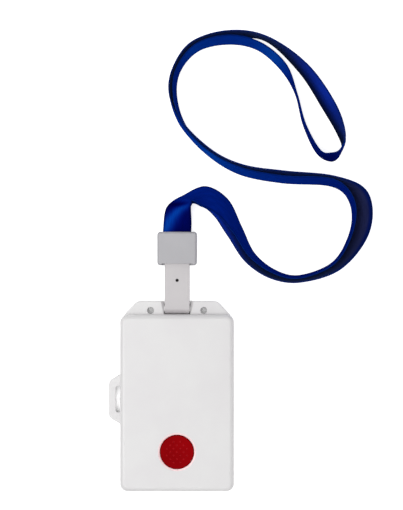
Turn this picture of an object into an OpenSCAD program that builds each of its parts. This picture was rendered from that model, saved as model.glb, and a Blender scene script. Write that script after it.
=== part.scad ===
// Wearable panic button on a neck ribbon, lying on its back.
// Millimetres. The origin is the centre of the case's back face: +X to the right of the front face,
// +Y towards the ribbon, +Z out of the front face.

/* [Case] */
// Width of the case
case_w = 60; // [54:1:72]
// Length of the case without its top flange
case_l = 93; // [90:1:110]
// Thickness of the case from back to front
case_t = 12; // [11.5:0.5:15]
// Radius of the four corners seen from the front
corner_r = 4; // [3.5:0.5:6]
// Rounding of the front edge
front_round = 2.5; // [1:0.25:3]
// Rounding of the back edge
back_round = 1; // [0.5:0.25:1.5]
// Height of the parting line above the back
parting_z = 5; // [4.9:0.1:6]
// Side wall of both shells
wall = 2; // [1.6:0.1:2.4]
// Front wall
front_wall = 1.8; // [1.4:0.1:2.2]
// Floor of the rear shell
rear_floor = 1.6; // [1.4:0.1:2]

/* [Case joint] */
// Height of the front shell's tongue below the parting line
tongue_h = 1.4; // [1.2:0.1:1.6]
// Thickness of the tongue
tongue_t = 0.9; // [0.7:0.1:1.1]
// Clearance round the tongue
tongue_gap = 0.15; // [0.1:0.05:0.2]
// Width of the ledge that carries the seal
ledge_w = 1.2; // [1.1:0.1:1.6]
// Height of the seal
seal_h = 0.8; // [0.6:0.1:0.9]
// Width of the seal
seal_w = 0.9; // [0.6:0.1:1]

/* [Case screws] */
// Radius of a screw boss
boss_r = 3; // [2.7:0.1:3.2]
// Radius of a screw's shank
screw_r = 1; // [0.9:0.05:1.1]
// Radius of a screw's head
screw_head_r = 1.9; // [1.7:0.05:2]
// Height of a screw's head
screw_head_h = 1.2; // [1:0.1:1.4]
// Depth that a screw's head lies below the back
screw_sink = 0.3; // [0.2:0.1:0.4]
// Length of a screw under its head
screw_l = 6.2; // [5.6:0.1:6.6]
// Outer radius of a threaded insert
insert_r = 1.6; // [1.5:0.05:1.8]
// Length of a threaded insert
insert_l = 4; // [3:0.1:4.4]
// Clearance of pegs and screws in their holes
peg_gap = 0.1; // [0.05:0.01:0.12]

/* [Top flange] */
// Height of the flange above the case
flange_h = 7.1; // [6.8:0.1:8]
// Width of the flange at its top
flange_top_w = 43; // [40:1:45]
// Width of the flange where it meets the case
flange_base_w = 56; // [52:1:58]
// Thickness of the flange and of the side tab
flange_t = 4; // [3.8:0.1:4.1]
// Height of the flange's back above the case's back
flange_z = 0.8; // [0.7:0.1:0.9]
// Radius of the flange's top corners
flange_r = 4; // [2:0.5:5]
// Clearance at each side of the hook in the notch
notch_gap = 0.3; // [0.2:0.05:0.4]
// Width of the notch's sloped sides at its mouth
notch_top_w = 17.5; // [17:0.5:20]
// Width of the notch's sloped sides at its bottom
notch_base_w = 14.4; // [14.2:0.2:16]
// Cut across the notch's bottom corners
notch_corner = 0.5; // [0.2:0.1:0.6]
// Radius of the chain holes
chain_hole_r = 1.75; // [1.5:0.05:2]
// Distance between the chain holes
chain_hole_gap = 28.2; // [26:0.2:32]

/* [Side tab] */
// How far the tab stands out of the case
tab_out = 6.3; // [6:0.1:8]
// Length of the tab at the case
tab_base_l = 28; // [26:1:34]
// Length of the tab's outer edge
tab_edge_l = 19; // [18:1:22]
// Place of the tab along the case, from its middle
tab_y = 1.6; // [-4:0.2:6]
// Width of the slot
slot_w = 2.5; // [2:0.1:3]
// Length of the slot
slot_l = 14.2; // [12:0.2:16]
// Radius of the nub that keeps a strap from sliding in the slot
nub_r = 0.6; // [0.4:0.1:0.8]

/* [Hook] */
// Width of the hook's plate
hook_w = 13.2; // [11:0.2:13.4]
// Radius of the hook's barrel
hook_r = 2.9; // [2.6:0.05:2.9]
// Thickness of the hook's plate
hook_t = 1.9; // [1.6:0.1:2]
// Length of the plate from the bar to the sleeve
hook_l = 22.8; // [20:0.1:28]
// Length of the tail inside the sleeve
tail_l = 9.4; // [7:0.2:10]
// Radius of the small hole in the plate
core_hole_r = 0.85; // [0.5:0.05:1.2]
// Distance of the small hole from the bar
core_hole_l = 14.9; // [10:0.1:17]
// Radius of the boss under the small hole
core_boss_r = 1.75; // [1.6:0.05:2]
// Height of that boss
core_boss_h = 3.2; // [2:0.1:3.4]
// Thickness of the boss's closed end
core_floor = 0.6; // [0.4:0.1:0.8]
// Cut across the plate's lower corners
hook_bevel = 1.2; // [0.6:0.1:1.6]
// Radius of the bar that the hook turns on
bar_r = 1.5; // [1.3:0.05:1.5]
// Running clearance between the bar and the hook
bar_gap = 0.08; // [0.05:0.01:0.1]
// Opening of the hook below the bar's middle
grip_drop = 1.25; // [1.1:0.05:1.3]

/* [Sleeve] */
// Width of the sleeve
sleeve_w = 21; // [20.5:0.5:25]
// Length of the sleeve
sleeve_l = 17.8; // [16.8:0.1:20]
// Thickness of the sleeve
sleeve_t = 8; // [7.6:0.1:9]
// Height of the sleeve above the surface that it lies on
sleeve_z = 0.3; // [0.2:0.1:0.4]
// Radius of the sleeve's corners
sleeve_r = 1.4; // [0.8:0.1:2]
// Clearance round the tail and the ribbon's clamp
sleeve_gap = 0.2; // [0.1:0.05:0.3]
// Radius of the pegs that join the sleeve's halves
sleeve_peg_r = 0.8; // [0.6:0.05:0.9]
// Height of those pegs
sleeve_peg_h = 2; // [1.4:0.1:2.4]

/* [Ribbon] */
// Width of the ribbon
ribbon_w = 15; // [13:0.5:15]
// Thickness of the ribbon
ribbon_t = 0.5; // [0.4:0.05:0.6]
// Distance between the middles of the two runs in the sleeve
run_gap = 1.4; // [1.2:0.1:1.6]
// Sheet of the clamp round the ribbon's ends
clamp_t = 0.4; // [0.3:0.05:0.5]
// Length of the clamp
clamp_l = 5.6; // [4.6:0.1:5.8]

/* [Button] */
// Radius of the button
button_r = 9; // [7.5:0.25:9.5]
// Distance of the button's middle from the case's lower end
button_up = 21; // [19.5:0.5:22.5]
// How far the button stands above the front face
button_proud = 0.5; // [0.2:0.1:0.8]
// Clearance round the button
button_gap = 0.2; // [0.15:0.05:0.3]
// Chamfer of the button's hole
hole_chamfer = 0.7; // [0.3:0.1:1]
// How far the rim under the wall reaches beyond the button
button_rim = 1.4; // [1.2:0.1:2]
// Thickness of the rim
button_rim_t = 1; // [0.8:0.1:1.1]
// Thickness of the button's top
button_top_t = 1.6; // [1.4:0.1:1.9]
// Radius of the post that presses the switch
button_post_r = 2.2; // [1.8:0.1:2.5]
// Travel of the button
press_travel = 0.6; // [0.4:0.1:0.7]
// Height of the soft ring under the rim
boot_h = 1.7; // [1.5:0.1:1.8]
// Thickness of the plate that carries the soft ring
carrier_t = 0.8; // [0.6:0.1:0.9]
// Radius of a grip dot
dot_r = 0.6; // [0.4:0.05:0.7]
// Height of a grip dot
dot_h = 0.3; // [0.2:0.05:0.4]
// Distance between dots in a row
dot_pitch = 3.5; // [3:0.1:3.6]
// Distance between rows of dots
dot_row = 1.8; // [1.6:0.1:2]

/* [Electronics] */
// Space between the circuit board's sides and the seal's ledge
board_side = 1.3; // [0.6:0.1:3]
// Space between the circuit board's ends and the screw bosses
board_end = 0.7; // [0.4:0.1:2]
// Thickness of the circuit board
board_t = 1; // [0.8:0.1:1.2]
// Height of the board's feet
standoff_h = 1.2; // [1:0.1:1.3]
// Radius of the board's feet
standoff_r = 2; // [1.6:0.1:2.2]
// Radius of the pins that locate the board
board_pin_r = 0.9; // [0.7:0.05:1]
// Side of the switch's body
switch_w = 6; // [5:0.2:6.4]
// Height of the switch's body
switch_h = 3.5; // [3:0.1:3.6]
// Radius of the switch's plunger
plunger_r = 1.7; // [1.4:0.05:1.9]
// Length of the plunger inside the switch
plunger_in = 1.3; // [1:0.1:1.5]
// Radius of the coin cell
cell_r = 10; // [9:0.25:10]
// Thickness of the coin cell
cell_t = 3.2; // [2.5:0.1:3.4]
// Distance of the coin cell's middle from the case's top end
cell_down = 27.5; // [26.5:0.5:29.5]
// Floor of the cell's holder
holder_floor = 0.8; // [0.6:0.1:1]
// Wall of the cell's holder
holder_wall = 1.4; // [1.2:0.1:1.6]
// Clearance round the coin cell
cell_gap = 0.15; // [0.1:0.05:0.2]
// Thickness of the cell's contacts
contact_t = 0.3; // [0.2:0.05:0.4]
// Width of the contact strap
strap_w = 5; // [4:0.5:6]

/* [Hidden] */
$fn = 48;
// A cut runs this far past the face that it opens
past = 1;
// Space between faces that rest on each other with no load
seat = 0.05;

// Heights through the case
ceiling_z = case_t - front_wall;
tongue_z = parting_z - tongue_h;
ledge_z = tongue_z - seal_h - 2 * seat;
band_h = 1.2;
board_z = rear_floor + standoff_h;
board_top = board_z + board_t;
rim_top = ceiling_z - 2 * seat;
rim_z = rim_top - button_rim_t;
boot_z = rim_z - seat - boot_h;
carrier_z = boot_z - seat - carrier_t;
switch_top = board_top + switch_h;
plunger_top = rim_z - seat;

// Places of the case's screws
boss_inset = wall + ledge_w + 2 * seat + boss_r;
screw_x = case_w / 2 - boss_inset;
screw_y = case_l / 2 - boss_inset;
boss_split = tongue_z - 2 * seat;
screw_seat = screw_sink + screw_head_h;
insert_z = boss_split + 4 * seat;
corners = [for (sx = [-1, 1], sy = [-1, 1]) [sx, sy]];

// Bar and hook
flange_y = case_l / 2 + flange_h;
hinge_y = case_l / 2 + hook_r + 0.3;
hinge_z = hook_r + 0.4;
plate_top = hinge_z + hook_r;
plate_z = plate_top - hook_t;
stop_y = hinge_y + hook_r + 3 * seat;
notch_y = case_l / 2 + 2 * seat;
notch_w = hook_w + 2 * notch_gap;
chain_hole_y = case_l / 2 + chain_hole_r + 0.35;

// Side tab
slot_x = -case_w / 2 - slot_w / 2 - 2 * seat;
rail_r = 2;

// Sleeve and the ribbon's ends
sleeve_y = hinge_y + hook_l;
sleeve_top = sleeve_y + sleeve_l;
sleeve_split = sleeve_z + sleeve_t / 2;
tail_y = sleeve_y + tail_l;
tail_room = tail_y + 2 * sleeve_gap;
run_low = sleeve_split - run_gap / 2;
run_high = sleeve_split + run_gap / 2;
clamp_in = run_gap + ribbon_t + 2 * sleeve_gap;
clamp_out = clamp_in + 2 * clamp_t;
clamp_w = ribbon_w + 0.6;
clamp_y = sleeve_top - 1 - clamp_l;
ribbon_end = clamp_y + clamp_t + sleeve_gap;
sleeve_peg_x = (clamp_w / 2 + sleeve_gap + sleeve_w / 2) / 2;
sleeve_peg_y = [sleeve_y + 4, sleeve_top - 4];
mouth_w = hook_w + 3;
mouth_l = 1;

// Button and its soft ring
button_y = button_up - case_l / 2;
hole_r = button_r + button_gap;
rim_r = button_r + button_rim;
boot_w = 2;
post_out = rim_r + 2.4;
post_r = 1.2;
stake_r = 0.6;
carrier_r = post_out + post_r + 0.4;
carrier_in = rim_r - boot_w - 1;
post_angles = [90, 210, 330];
dot_rows = [2, 3, 4, 3, 4, 3, 2];

// Board and the parts on it
board_w = case_w - 2 * (wall + ledge_w + board_side);
board_l = 2 * (screw_y - boss_r - board_end);
board_hole_x = board_w / 2 - 3.5;
board_hole_y = board_l / 2 - 4.5;
cell_y = case_l / 2 - cell_down;
cell_z = board_top + holder_floor + contact_t + seat;
strap_leg_x = cell_r + cell_gap + holder_wall + 0.6;
board_edge = board_w / 2;
radio_at = [board_edge - 12.5, -3];
radio_size = [15, 12, 0.8];
can_size = [13, 10, 1.8];
antenna_at = [13, 3 - board_l / 2];
antenna_size = [9, 3, 1.2];
// Each chip: place on the board, then size
chips = [
  [[-13, -3], [7, 7, 0.9]],
  [[-4.5, -2], [3.2, 2.5, 0.8]],
  [[5.5 - board_edge, -2], [3, 3, 1]],
  [[6.5 - board_edge, -12], [3, 3, 0.9]],
  [[-15, 3 - board_l / 2], [2, 1.2, 0.6]],
  [[15, -13], [2, 1.2, 0.6]],
  [[board_edge - 5.5, 10], [3, 1.6, 1.1]],
  [[5.5 - board_edge, 10], [3, 1.6, 1.1]]
];

// The route of the ribbon. Each row is the lower edge's x and y, the upper edge's x and y, and the lower
// edge's height. The upper edge is as high as the ribbon's width makes it. The route was laid out for a
// sleeve that ends at route_y.
route_y = 90.3;
half_w = ribbon_w / 2;
end_y = ribbon_end - sleeve_top + route_y;
route_out = [
  [-half_w, end_y, half_w, end_y, run_high], [-half_w, 91, half_w, 91, run_high],
  [-6.3, 101.5, 7.3, 101.5, 3.8], [-3, 106, 7.7, 105.2, 3.6], [2.5, 109.2, 8.8, 106.3, 3.3],
  [15, 114.5, 16, 102.5, 2.6], [27, 107.5, 23.2, 97.7, 1.9], [34.4, 92.7, 29.6, 89.8, 0.8],
  [41.3, 78.7, 38.5, 76.7, 0.4], [52.7, 69.7, 51.2, 68.2, 0.4], [65.6, 67.2, 64.9, 66, 0.4],
  [83.3, 74.6, 82.8, 73.8, 0.4], [92.3, 91.5, 92.2, 90.9, 0.4], [91.7, 106.3, 92.7, 106.8, 0.4],
  [82, 114.6, 81.9, 117.7, 0.4], [55.6, 116.4, 55.4, 119.5, 0.4], [32.5, 121.2, 33.4, 123.9, 0.4],
  [14.7, 132.4, 15.9, 133, 0.4], [1.7, 147.6, 2.9, 146.8, 0.4], [-1.8, 163.4, -3.9, 161.5, 0.4],
  [-0.2, 176.2, -2.4, 175.4, 0.4], [9.5, 188, 7.4, 189.4, 0.4], [27.3, 192.7, 26.7, 195.5, 0.4],
  [46.6, 192.2, 47.1, 192.5, 0.4], [64.9, 175.4, 68.3, 178, 0.4], [77.6, 155.7, 82.8, 158, 0.4],
  [85.5, 142, 88.2, 141.9, 0.4], [87.7, 134.1, 85.7, 133.7, 0.4], [83, 128, 81, 131.5, 0.4]
];
route_back = [
  [74.5, 132, 75, 133, 0.4], [67.2, 147, 67.4, 146.6, 0.4], [62.8, 164, 62.9, 162.6, 0.4],
  [55, 176.8, 57, 178.1, 0.4], [42.8, 187.2, 43.7, 189.3, 0.4], [27.8, 190.3, 27.2, 193.1, 0.4],
  [11.6, 186.9, 9.8, 188.4, 0.4], [1.7, 176.1, -0.4, 175.3, 0.4], [-0.3, 162.7, -1.7, 160.9, 0.4],
  [4.2, 146.6, 3.6, 147.1, 0.4], [17.3, 131.8, 18.7, 132.7, 0.4], [33.8, 122.2, 34.9, 125.2, 0.4],
  [56, 117.7, 55.9, 122.1, 0.4], [82.9, 116, 82.8, 119.3, 0.4], [93.2, 107.7, 100.2, 110.7, 0.4],
  [94.1, 92.4, 101, 90.3, 0.4], [84.6, 74.1, 86.3, 71, 0.4], [65.8, 66, 65.3, 63.8, 0.4],
  [51.3, 68.2, 49.4, 65.7, 0.4], [39.9, 77.2, 36.1, 74.3, 0.4], [32.2, 91.4, 26.7, 88, 0.4],
  [25, 106, 20.5, 97.4, 0.4], [14.5, 114.2, 14.5, 102.9, 0.4], [2.6, 108.4, 9.5, 105.1, 0.4],
  [-3.1, 105.4, 7.7, 104.4, 1.3], [-6.4, 101, 7.1, 100.8, 2.2], [-half_w, 91, half_w, 91, run_low],
  [-half_w, end_y, half_w, end_y, run_low]
];
route = concat(route_out, route_back);
// A step of the route longer than this gets a ring halfway
long_step = 16;

// Shared shapes

module rounded_rect(w, l, r) {
  square([w - 2 * r, l], center = true);
  square([w, l - 2 * r], center = true);
  for (c = corners)
    translate([c.x * (w / 2 - r), c.y * (l / 2 - r)])
      circle(r);
}

module inset_plate(inset, h) {
  linear_extrude(h)
    rounded_rect(case_w - 2 * inset, case_l - 2 * inset, max(corner_r - inset, 0.5));
}

module rim_ring(outer, inner, h) {
  difference() {
    inset_plate(outer, h);
    translate([0, 0, -past])
      inset_plate(inner, h + 2 * past);
  }
}

// A case half lying with its rounded edge up
module case_block(h, edge) {
  hull()
    for (c = corners)
      translate([c.x * (case_w / 2 - corner_r), c.y * (case_l / 2 - corner_r), 0])
        rotate_extrude($fn = 32) {
          square([corner_r - edge, h]);
          square([corner_r, h - edge]);
          intersection() {
            translate([corner_r - edge, h - edge])
              circle(edge, $fn = 24);
            square([corner_r, h]);
          }
        }
}

module at_screws() {
  for (c = corners)
    translate([c.x * screw_x, c.y * screw_y, 0])
      children();
}

module at_board_holes() {
  for (c = corners)
    translate([c.x * board_hole_x, c.y * board_hole_y, 0])
      children();
}

module at_posts() {
  translate([0, button_y, 0])
    for (a = post_angles)
      rotate(a)
        translate([post_out, 0, 0])
          children();
}

module on_board(at, size) {
  translate([at.x - size.x / 2, at.y - size.y / 2, board_top])
    cube(size);
}

// Case

module front_shell() {
  color("whitesmoke") {
    difference() {
      translate([0, 0, parting_z])
        case_block(case_t - parting_z, front_round);
      translate([0, 0, parting_z - past])
        inset_plate(wall, ceiling_z - parting_z + past);
      translate([0, button_y, ceiling_z - past])
        cylinder(h = front_wall + 2 * past, r = hole_r);
      translate([0, button_y, case_t - hole_chamfer])
        cylinder(h = 2 * hole_chamfer, r1 = hole_r, r2 = hole_r + 2 * hole_chamfer);
    }
    translate([0, 0, tongue_z])
      rim_ring(wall + tongue_gap, wall + tongue_gap + tongue_t, tongue_h);
    translate([0, 0, parting_z])
      rim_ring(wall - seat, wall + tongue_gap + tongue_t, band_h);
    difference() {
      at_screws()
        translate([0, 0, boss_split + seat])
          cylinder(h = ceiling_z - boss_split, r = boss_r);
      at_screws() {
        translate([0, 0, boss_split - past])
          cylinder(h = insert_z + insert_l + seat - boss_split + past, r = insert_r + 0.02);
        translate([0, 0, boss_split])
          cylinder(h = screw_seat + screw_l + 0.3 - boss_split, r = screw_r + peg_gap);
      }
    }
    at_posts() {
      translate([0, 0, carrier_z + carrier_t])
        cylinder(h = ceiling_z - carrier_z - carrier_t + seat, r = post_r);
      translate([0, 0, carrier_z - 0.3])
        cylinder(h = carrier_t + 0.3 + seat, r = stake_r);
    }
  }
}

module flange_outline() {
  top = flange_top_w / 2;
  base = flange_base_w / 2;
  hull() {
    for (s = [-1, 1])
      translate([s * (top - flange_r / 2), flange_y - flange_r])
        circle(flange_r, $fn = 32);
    translate([-base, case_l / 2 - wall])
      square([2 * base, wall]);
  }
}

module notch_outline() {
  half = notch_w / 2;
  polygon([
    [notch_corner - half, notch_y], [half - notch_corner, notch_y], [half, notch_y + notch_corner],
    [half, flange_y + past], [-half, flange_y + past], [-half, notch_y + notch_corner]
  ]);
}

// What is cut off the upper edge of one side of the notch, wider towards the mouth
module notch_slope() {
  turn = atan2((notch_top_w - notch_base_w) / 2, flange_y - notch_y);
  intersection() {
    translate([notch_w / 2, notch_y, flange_z])
      cube([notch_top_w, flange_h + past, flange_t + past]);
    translate([notch_base_w / 2, notch_y, flange_z + flange_t])
      rotate([0, 0, -turn])
        rotate([0, 135, 0])
          translate([0, 0, -flange_t])
            cube([2 * flange_t, flange_h + 2 * past, flange_t]);
  }
}

module tab_outline() {
  hull() {
    for (s = [-1, 1])
      translate([-case_w / 2 - tab_out + rail_r, tab_y + s * (tab_edge_l / 2 - rail_r / 2)])
        circle(rail_r, $fn = 32);
    translate([-case_w / 2, tab_y - tab_base_l / 2])
      square([wall, tab_base_l]);
  }
}

module slot_outline() {
  translate([slot_x, tab_y])
    square([slot_w, slot_l - slot_w], center = true);
  for (s = [-1, 1])
    translate([slot_x, tab_y + s * (slot_l - slot_w) / 2])
      circle(slot_w / 2);
}

module rear_shell() {
  color("white") {
    difference() {
      union() {
        difference() {
          union() {
            translate([0, 0, parting_z])
              mirror([0, 0, 1])
                case_block(parting_z, back_round);
            translate([0, 0, flange_z])
              linear_extrude(flange_t) {
                flange_outline();
                tab_outline();
              }
          }
          translate([0, 0, ledge_z])
            inset_plate(wall, parting_z - ledge_z + past);
          translate([0, 0, rear_floor])
            inset_plate(wall + ledge_w, parting_z - rear_floor + past);
          translate([0, 0, -past])
            linear_extrude(case_t) {
              notch_outline();
              slot_outline();
            }
          for (s = [-1, 1])
            translate([s * chain_hole_gap / 2, chain_hole_y, -past])
              cylinder(h = case_t, r = chain_hole_r);
          at_screws() {
            translate([0, 0, -past])
              cylinder(h = screw_seat + past, r = screw_head_r + peg_gap);
            cylinder(h = parting_z, r = screw_r + peg_gap);
          }
        }
        translate([-notch_top_w / 2 - past, hinge_y, hinge_z])
          rotate([0, 90, 0])
            cylinder(h = notch_top_w + 2 * past, r = bar_r);
        translate([-notch_top_w / 2 - past, stop_y, flange_z])
          cube([notch_top_w + 2 * past, flange_y - stop_y, plate_z - seat - flange_z]);
      }
      notch_slope();
      mirror([1, 0, 0])
        notch_slope();
    }
    at_screws()
      difference() {
        translate([0, 0, rear_floor / 2])
          cylinder(h = boss_split - rear_floor / 2, r = boss_r);
        translate([0, 0, -past])
          cylinder(h = screw_seat + past, r = screw_head_r + peg_gap);
        cylinder(h = parting_z, r = screw_r + peg_gap);
      }
    at_board_holes() {
      translate([0, 0, rear_floor - seat])
        cylinder(h = standoff_h + seat, r = standoff_r);
      translate([0, 0, board_z - seat])
        cylinder(h = board_t + 0.5 + seat, r = board_pin_r);
    }
    translate([slot_x + slot_w / 2, tab_y, flange_z])
      cylinder(h = flange_t, r = nub_r);
  }
}

module case_seal() {
  color("dimgray")
    translate([0, 0, ledge_z + seat])
      rim_ring(wall + tongue_gap, wall + tongue_gap + seal_w, seal_h);
}

module case_screws() {
  color("silver")
    at_screws()
      difference() {
        union() {
          translate([0, 0, screw_sink])
            cylinder(h = screw_head_h, r = screw_head_r);
          translate([0, 0, screw_seat])
            cylinder(h = screw_l, r = screw_r);
        }
        for (a = [0, 90])
          rotate(a)
            translate([-screw_head_r / 2, -screw_head_r / 8, screw_sink - past])
              cube([screw_head_r, screw_head_r / 4, screw_head_h / 2 + past]);
      }
}

module screw_inserts() {
  color("goldenrod")
    at_screws()
      translate([0, 0, insert_z])
        difference() {
          cylinder(h = insert_l, r = insert_r);
          translate([0, 0, -past])
            cylinder(h = insert_l + 2 * past, r = screw_r + 0.02);
        }
}

// Button

module dots() {
  rows = len(dot_rows);
  for (i = [0 : rows - 1], k = [0 : dot_rows[i] - 1])
    translate([(k - (dot_rows[i] - 1) / 2) * dot_pitch, (i - (rows - 1) / 2) * dot_row, 0])
      cylinder(h = dot_h + seat, r1 = dot_r, r2 = dot_r * 0.55);
}

module button_cap() {
  top = case_t + button_proud;
  edge = 0.5;
  color("firebrick")
    translate([0, button_y, 0]) {
      difference() {
        union() {
          translate([0, 0, rim_z])
            cylinder(h = top - edge - rim_z, r = button_r);
          translate([0, 0, top - edge])
            cylinder(h = edge, r1 = button_r, r2 = button_r - edge);
          translate([0, 0, rim_z])
            cylinder(h = button_rim_t, r = rim_r);
        }
        translate([0, 0, rim_z - past])
          cylinder(h = top - button_top_t - rim_z + past, r = button_r - 1.5);
      }
      translate([0, 0, rim_z])
        cylinder(h = top - button_top_t - rim_z + seat, r = button_post_r);
      translate([0, 0, top - seat])
        dots();
    }
}

module button_boot() {
  color("gray")
    translate([0, button_y, boot_z])
      difference() {
        cylinder(h = boot_h, r = rim_r - 0.1);
        translate([0, 0, -past])
          cylinder(h = boot_h + 2 * past, r = rim_r - boot_w);
      }
}

module boot_carrier() {
  color("gainsboro")
    difference() {
      translate([0, button_y, carrier_z])
        cylinder(h = carrier_t, r = carrier_r);
      translate([0, button_y, carrier_z - past])
        cylinder(h = carrier_t + 2 * past, r = carrier_in);
      at_posts()
        translate([0, 0, carrier_z - past])
          cylinder(h = carrier_t + 2 * past, r = stake_r + seat);
    }
}

// Electronics

module switch_body() {
  color("black")
    difference() {
      translate([-switch_w / 2, button_y - switch_w / 2, board_top])
        cube([switch_w, switch_w, switch_h]);
      translate([0, button_y, switch_top - plunger_in - press_travel - 0.3])
        cylinder(h = switch_h, r = plunger_r + peg_gap);
    }
}

module switch_plunger() {
  color("dimgray")
    translate([0, button_y, switch_top - plunger_in])
      cylinder(h = plunger_top - switch_top + plunger_in, r = plunger_r);
}

module circuit_board() {
  color("darkgreen")
    translate([0, 0, board_z])
      difference() {
        linear_extrude(board_t)
          rounded_rect(board_w, board_l, 1.5);
        at_board_holes()
          translate([0, 0, -past])
            cylinder(h = board_t + 2 * past, r = board_pin_r + peg_gap);
      }
}

module radio_module() {
  color("seagreen")
    on_board(radio_at, radio_size);
}

module shield_can() {
  color("silver")
    translate([0, 0, radio_size.z])
      on_board(radio_at, can_size);
}

module chip_antenna() {
  color("ivory")
    on_board(antenna_at, antenna_size);
}

module board_chips() {
  color("#222222")
    for (c = chips)
      on_board(c[0], c[1]);
}

module cell_holder() {
  inner = cell_r + cell_gap;
  color("#222222")
    translate([0, cell_y, board_top])
      difference() {
        cylinder(h = holder_floor + contact_t + cell_t * 0.8, r = inner + holder_wall);
        translate([0, 0, holder_floor])
          cylinder(h = case_t, r = inner);
      }
}

module coin_cell() {
  edge = 0.4;
  color("lightgray")
    translate([0, cell_y, cell_z]) {
      cylinder(h = edge, r1 = cell_r - edge, r2 = cell_r);
      translate([0, 0, edge])
        cylinder(h = cell_t - edge, r = cell_r);
    }
}

module cell_strap() {
  top = cell_z + cell_t + seat;
  color("silver")
    translate([0, cell_y, 0]) {
      translate([-strap_leg_x, -strap_w / 2, top])
        cube([2 * strap_leg_x, strap_w, contact_t]);
      for (s = [-1, 1])
        translate([s * strap_leg_x - contact_t / 2, -strap_w / 2, board_top])
          cube([contact_t, strap_w, top + contact_t - board_top]);
    }
}

module cell_pad() {
  color("gold")
    translate([0, cell_y, board_top + holder_floor])
      cylinder(h = contact_t, r = cell_r / 2);
}

// Hook

module hook() {
  reach = hook_l + tail_l;
  bore_r = bar_r + bar_gap;
  color("gainsboro")
    difference() {
      intersection() {
        union() {
          translate([-hook_w / 2, hinge_y, hinge_z])
            rotate([0, 90, 0])
              cylinder(h = hook_w, r = hook_r);
          translate([-hook_w / 2, hinge_y, plate_z])
            cube([hook_w, reach, hook_t]);
          translate([0, hinge_y + core_hole_l, plate_z - core_boss_h])
            cylinder(h = core_boss_h + seat, r = core_boss_r);
        }
        translate([0, hinge_y - hook_r, -past])
          linear_extrude(case_t)
            polygon([
              [-hook_w / 2 + hook_bevel, 0], [hook_w / 2 - hook_bevel, 0], [hook_w / 2, hook_bevel],
              [hook_w / 2, reach + hook_r], [-hook_w / 2, reach + hook_r], [-hook_w / 2, hook_bevel]
            ]);
      }
      translate([-hook_w / 2 - past, hinge_y, hinge_z])
        rotate([0, 90, 0])
          cylinder(h = hook_w + 2 * past, r = bore_r);
      translate([-hook_w / 2 - past, hinge_y, hinge_z - grip_drop])
        cube([hook_w + 2 * past, hook_r + past, grip_drop + hook_r - hook_t]);
      translate([0, hinge_y + core_hole_l, plate_z - core_boss_h + core_floor])
        cylinder(h = case_t, r = core_hole_r);
    }
}

// Sleeve

module sleeve_block() {
  difference() {
    translate([0, sleeve_y + sleeve_l / 2, sleeve_z])
      linear_extrude(sleeve_t)
        rounded_rect(sleeve_w, sleeve_l, sleeve_r);
    translate([-hook_w / 2 - sleeve_gap, sleeve_y - past, plate_z - sleeve_gap])
      cube([hook_w + 2 * sleeve_gap, tail_room - sleeve_y + past, hook_t + 2 * sleeve_gap]);
    translate([-mouth_w / 2, sleeve_y - past, plate_z - sleeve_gap])
      cube([mouth_w, mouth_l + past, sleeve_t]);
    translate([-clamp_w / 2 - sleeve_gap, clamp_y - sleeve_gap, sleeve_split - clamp_out / 2 - sleeve_gap])
      cube([clamp_w + 2 * sleeve_gap, clamp_l + 2 * sleeve_gap, clamp_out + 2 * sleeve_gap]);
    translate([-clamp_w / 2, clamp_y, sleeve_split - clamp_in / 2])
      cube([clamp_w, sleeve_l, clamp_in]);
  }
}

module at_sleeve_pegs() {
  for (s = [-1, 1], y = sleeve_peg_y)
    translate([s * sleeve_peg_x, y, sleeve_split])
      children();
}

module sleeve_front() {
  color("lightgray")
    difference() {
      sleeve_block();
      translate([-sleeve_w, sleeve_y - past, sleeve_z - past])
        cube([2 * sleeve_w, sleeve_l + 2 * past, sleeve_t / 2 + past]);
      at_sleeve_pegs()
        translate([0, 0, -past])
          cylinder(h = sleeve_peg_h + peg_gap + past, r = sleeve_peg_r + seat);
    }
}

module sleeve_back() {
  color("lightgray") {
    difference() {
      sleeve_block();
      translate([-sleeve_w, sleeve_y - past, sleeve_split])
        cube([2 * sleeve_w, sleeve_l + 2 * past, sleeve_t]);
    }
    at_sleeve_pegs()
      translate([0, 0, -seat])
        cylinder(h = sleeve_peg_h + seat, r = sleeve_peg_r);
  }
}

module ribbon_clamp() {
  color("silver")
    translate([-clamp_w / 2, clamp_y, sleeve_split - clamp_out / 2])
      difference() {
        cube([clamp_w, clamp_l, clamp_out]);
        translate([-past, clamp_t, clamp_t])
          cube([clamp_w + 2 * past, clamp_l, clamp_in]);
      }
}

// Ribbon: a flat strip swept along its route

function unit(v) = v / norm(v);
function row(i) = route[min(max(i, 0), len(route) - 1)];
function blend(a, b, c, d, u) =
  ((2 * b) + (c - a) * u + (2 * a - 5 * b + 4 * c - d) * u * u + (3 * b - 3 * c + d - a) * u * u * u) / 2;
function place(t) =
  let (i = min(floor(t), len(route) - 2))
  blend(row(i - 1), row(i), row(i + 1), row(i + 2), t - i);
function lower(t) = let (p = place(t)) [p[0], p[1], p[4]];
function across(t) =
  let (p = place(t), run = [p[2] - p[0], p[3] - p[1]])
  unit([run.x, run.y, sqrt(max(ribbon_w * ribbon_w - run * run, 0))]);
function middle(t) = lower(t) + across(t) * ribbon_w / 2;
function along(t) = unit(middle(min(t + 0.05, len(route) - 1)) - middle(max(t - 0.05, 0)));
function facing(t) = unit(cross(along(t), across(t)));
function ring(t) =
  let (a = lower(t), b = a + across(t) * ribbon_w, n = facing(t) * ribbon_t / 2)
  [a - n, b - n, b + n, a + n];

// Where the strip has its rings
stops = [for (i = [0 : len(route) - 1])
  each (i < len(route) - 1 && norm(middle(i + 1) - middle(i)) > long_step ? [i, i + 0.5] : [i])];

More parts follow.
